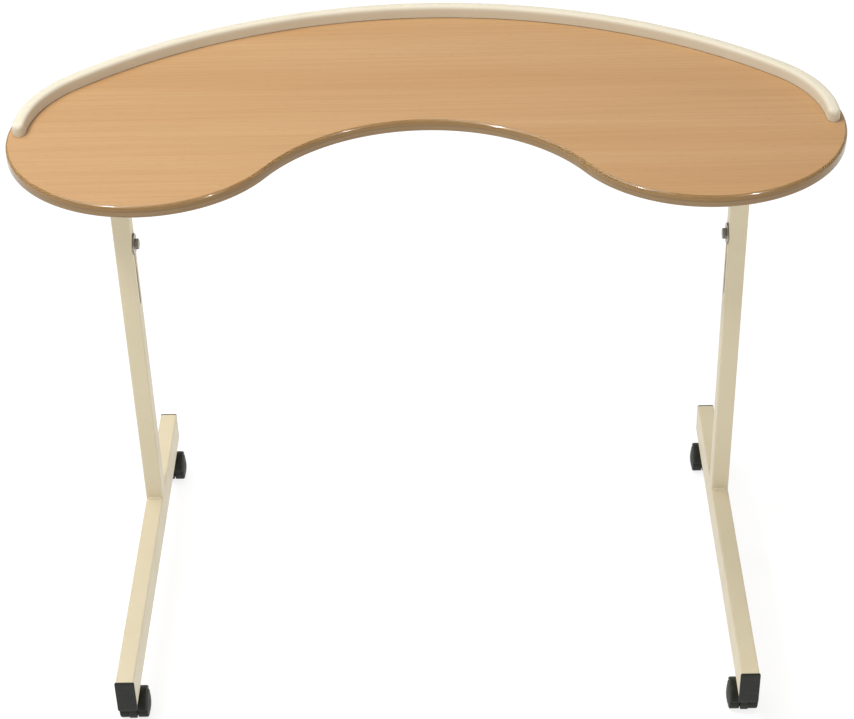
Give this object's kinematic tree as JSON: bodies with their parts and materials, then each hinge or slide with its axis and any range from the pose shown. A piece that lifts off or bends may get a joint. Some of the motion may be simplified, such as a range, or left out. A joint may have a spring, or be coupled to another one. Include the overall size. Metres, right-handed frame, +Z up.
{
  "type": "overbed table",
  "caption": "Kidney-shaped overbed table with a raised back rail, on two wheeled side legs of adjustable height.",
  "frame": {"origin": "on the floor, midway between the feet's centrelines and midway between their front and rear caps", "axes": "+X along the tabletop's length, -Y towards the user who sits in the recess, +Z up"},
  "size_m": [1.06, 0.606, 0.832],
  "materials": {
    "chipboard": "raw, sealed inside the laminates and the edge band",
    "beech_laminate": "satin beech-look laminate, straight grain along the table",
    "backing_laminate": "matt, faint texture",
    "edge_band": "glossy, rounded corners",
    "cream_rail": "satin gloss",
    "cream_powder_coat": "satin powder coat",
    "black_plastic": "moulded, matt",
    "charcoal_plastic": "moulded, slightly satin",
    "zinc_steel": "zinc plated"
  },
  "bodies": {
    "tabletop": {"board_core": "chipboard", "top_laminate": "beech_laminate", "underside_laminate": "backing_laminate", "edge_band": "edge_band", "gallery_rail": "cream_rail", "rail_screws": "zinc_steel", "left_support_arm": "cream_powder_coat", "right_support_arm": "cream_powder_coat", "arm_end_caps": "black_plastic", "cross_rail": "cream_powder_coat", "frame_screws": "zinc_steel", "left_inner_column": "cream_powder_coat", "right_inner_column": "cream_powder_coat", "left_glide_plug": "black_plastic", "right_glide_plug": "black_plastic", "left_clamp_nut": "zinc_steel", "right_clamp_nut": "zinc_steel"},
    "left_leg": {"left_outer_column": "cream_powder_coat", "left_column_bush": "black_plastic", "left_foot": "cream_powder_coat", "left_front_foot_cap": "black_plastic", "left_rear_foot_cap": "black_plastic", "left_caster_bosses": "zinc_steel", "left_front_caster_stem": "zinc_steel", "left_rear_caster_stem": "zinc_steel"},
    "left_clamp": {"left_lock_bolt": "zinc_steel", "left_penny_washer": "zinc_steel"},
    "right_leg": {"right_outer_column": "cream_powder_coat", "right_column_bush": "black_plastic", "right_foot": "cream_powder_coat", "right_front_foot_cap": "black_plastic", "right_rear_foot_cap": "black_plastic", "right_caster_bosses": "zinc_steel", "right_front_caster_stem": "zinc_steel", "right_rear_caster_stem": "zinc_steel"},
    "right_clamp": {"right_lock_bolt": "zinc_steel", "right_penny_washer": "zinc_steel"},
    "left_front_caster": {"left_front_caster_housing": "charcoal_plastic", "left_front_caster_axle": "zinc_steel"},
    "left_front_outer_wheel": {"left_front_outer_wheel": "charcoal_plastic"},
    "left_front_inner_wheel": {"left_front_inner_wheel": "charcoal_plastic"},
    "left_rear_caster": {"left_rear_caster_housing": "charcoal_plastic", "left_rear_caster_axle": "zinc_steel"},
    "left_rear_outer_wheel": {"left_rear_outer_wheel": "charcoal_plastic"},
    "left_rear_inner_wheel": {"left_rear_inner_wheel": "charcoal_plastic"},
    "right_front_caster": {"right_front_caster_housing": "charcoal_plastic", "right_front_caster_axle": "zinc_steel"},
    "right_front_outer_wheel": {"right_front_outer_wheel": "charcoal_plastic"},
    "right_front_inner_wheel": {"right_front_inner_wheel": "charcoal_plastic"},
    "right_rear_caster": {"right_rear_caster_housing": "charcoal_plastic", "right_rear_caster_axle": "zinc_steel"},
    "right_rear_outer_wheel": {"right_rear_outer_wheel": "charcoal_plastic"},
    "right_rear_inner_wheel": {"right_rear_inner_wheel": "charcoal_plastic"}
  },
  "joints": [
    {"name": "table_height", "type": "slide", "parent": "left_leg", "child": "tabletop", "axis": [0, 0, 1], "range_m": [-0.095, 0.012]},
    {"name": "right_leg_height", "type": "slide", "parent": "tabletop", "child": "right_leg", "axis": [0, 0, -1], "range_m": [-0.095, 0.012]},
    {"name": "left_lock_bolt_turn", "type": "hinge", "parent": "tabletop", "child": "left_clamp", "pos_m": [-0.41, 0.108, 0.554], "axis": [1, 0, 0], "range_deg": [0, 360]},
    {"name": "right_lock_bolt_turn", "type": "hinge", "parent": "tabletop", "child": "right_clamp", "pos_m": [0.41, 0.108, 0.554], "axis": [-1, 0, 0], "range_deg": [0, 360]},
    {"name": "left_front_caster_swivel", "type": "hinge", "parent": "left_leg", "child": "left_front_caster", "pos_m": [-0.425, -0.264, 0.055], "axis": [0, 0, 1], "continuous": true},
    {"name": "left_front_outer_wheel_roll", "type": "hinge", "parent": "left_front_caster", "child": "left_front_outer_wheel", "pos_m": [-0.43925, -0.249, 0.02], "axis": [1, 0, 0], "continuous": true},
    {"name": "left_front_inner_wheel_roll", "type": "hinge", "parent": "left_front_caster", "child": "left_front_inner_wheel", "pos_m": [-0.41075, -0.249, 0.02], "axis": [1, 0, 0], "continuous": true},
    {"name": "left_rear_caster_swivel", "type": "hinge", "parent": "left_leg", "child": "left_rear_caster", "pos_m": [-0.425, 0.264, 0.055], "axis": [0, 0, 1], "continuous": true},
    {"name": "left_rear_outer_wheel_roll", "type": "hinge", "parent": "left_rear_caster", "child": "left_rear_outer_wheel", "pos_m": [-0.43925, 0.279, 0.02], "axis": [1, 0, 0], "continuous": true},
    {"name": "left_rear_inner_wheel_roll", "type": "hinge", "parent": "left_rear_caster", "child": "left_rear_inner_wheel", "pos_m": [-0.41075, 0.279, 0.02], "axis": [1, 0, 0], "continuous": true},
    {"name": "right_front_caster_swivel", "type": "hinge", "parent": "right_leg", "child": "right_front_caster", "pos_m": [0.425, -0.264, 0.055], "axis": [0, 0, 1], "continuous": true},
    {"name": "right_front_outer_wheel_roll", "type": "hinge", "parent": "right_front_caster", "child": "right_front_outer_wheel", "pos_m": [0.43925, -0.249, 0.02], "axis": [1, 0, 0], "continuous": true},
    {"name": "right_front_inner_wheel_roll", "type": "hinge", "parent": "right_front_caster", "child": "right_front_inner_wheel", "pos_m": [0.41075, -0.249, 0.02], "axis": [1, 0, 0], "continuous": true},
    {"name": "right_rear_caster_swivel", "type": "hinge", "parent": "right_leg", "child": "right_rear_caster", "pos_m": [0.425, 0.264, 0.055], "axis": [0, 0, 1], "continuous": true},
    {"name": "right_rear_outer_wheel_roll", "type": "hinge", "parent": "right_rear_caster", "child": "right_rear_outer_wheel", "pos_m": [0.43925, 0.279, 0.02], "axis": [1, 0, 0], "continuous": true},
    {"name": "right_rear_inner_wheel_roll", "type": "hinge", "parent": "right_rear_caster", "child": "right_rear_inner_wheel", "pos_m": [0.41075, 0.279, 0.02], "axis": [1, 0, 0], "continuous": true}
  ],
  "couplings": [
    {"joint": "right_leg_height", "follows": "table_height", "ratio": 1}
  ]
}
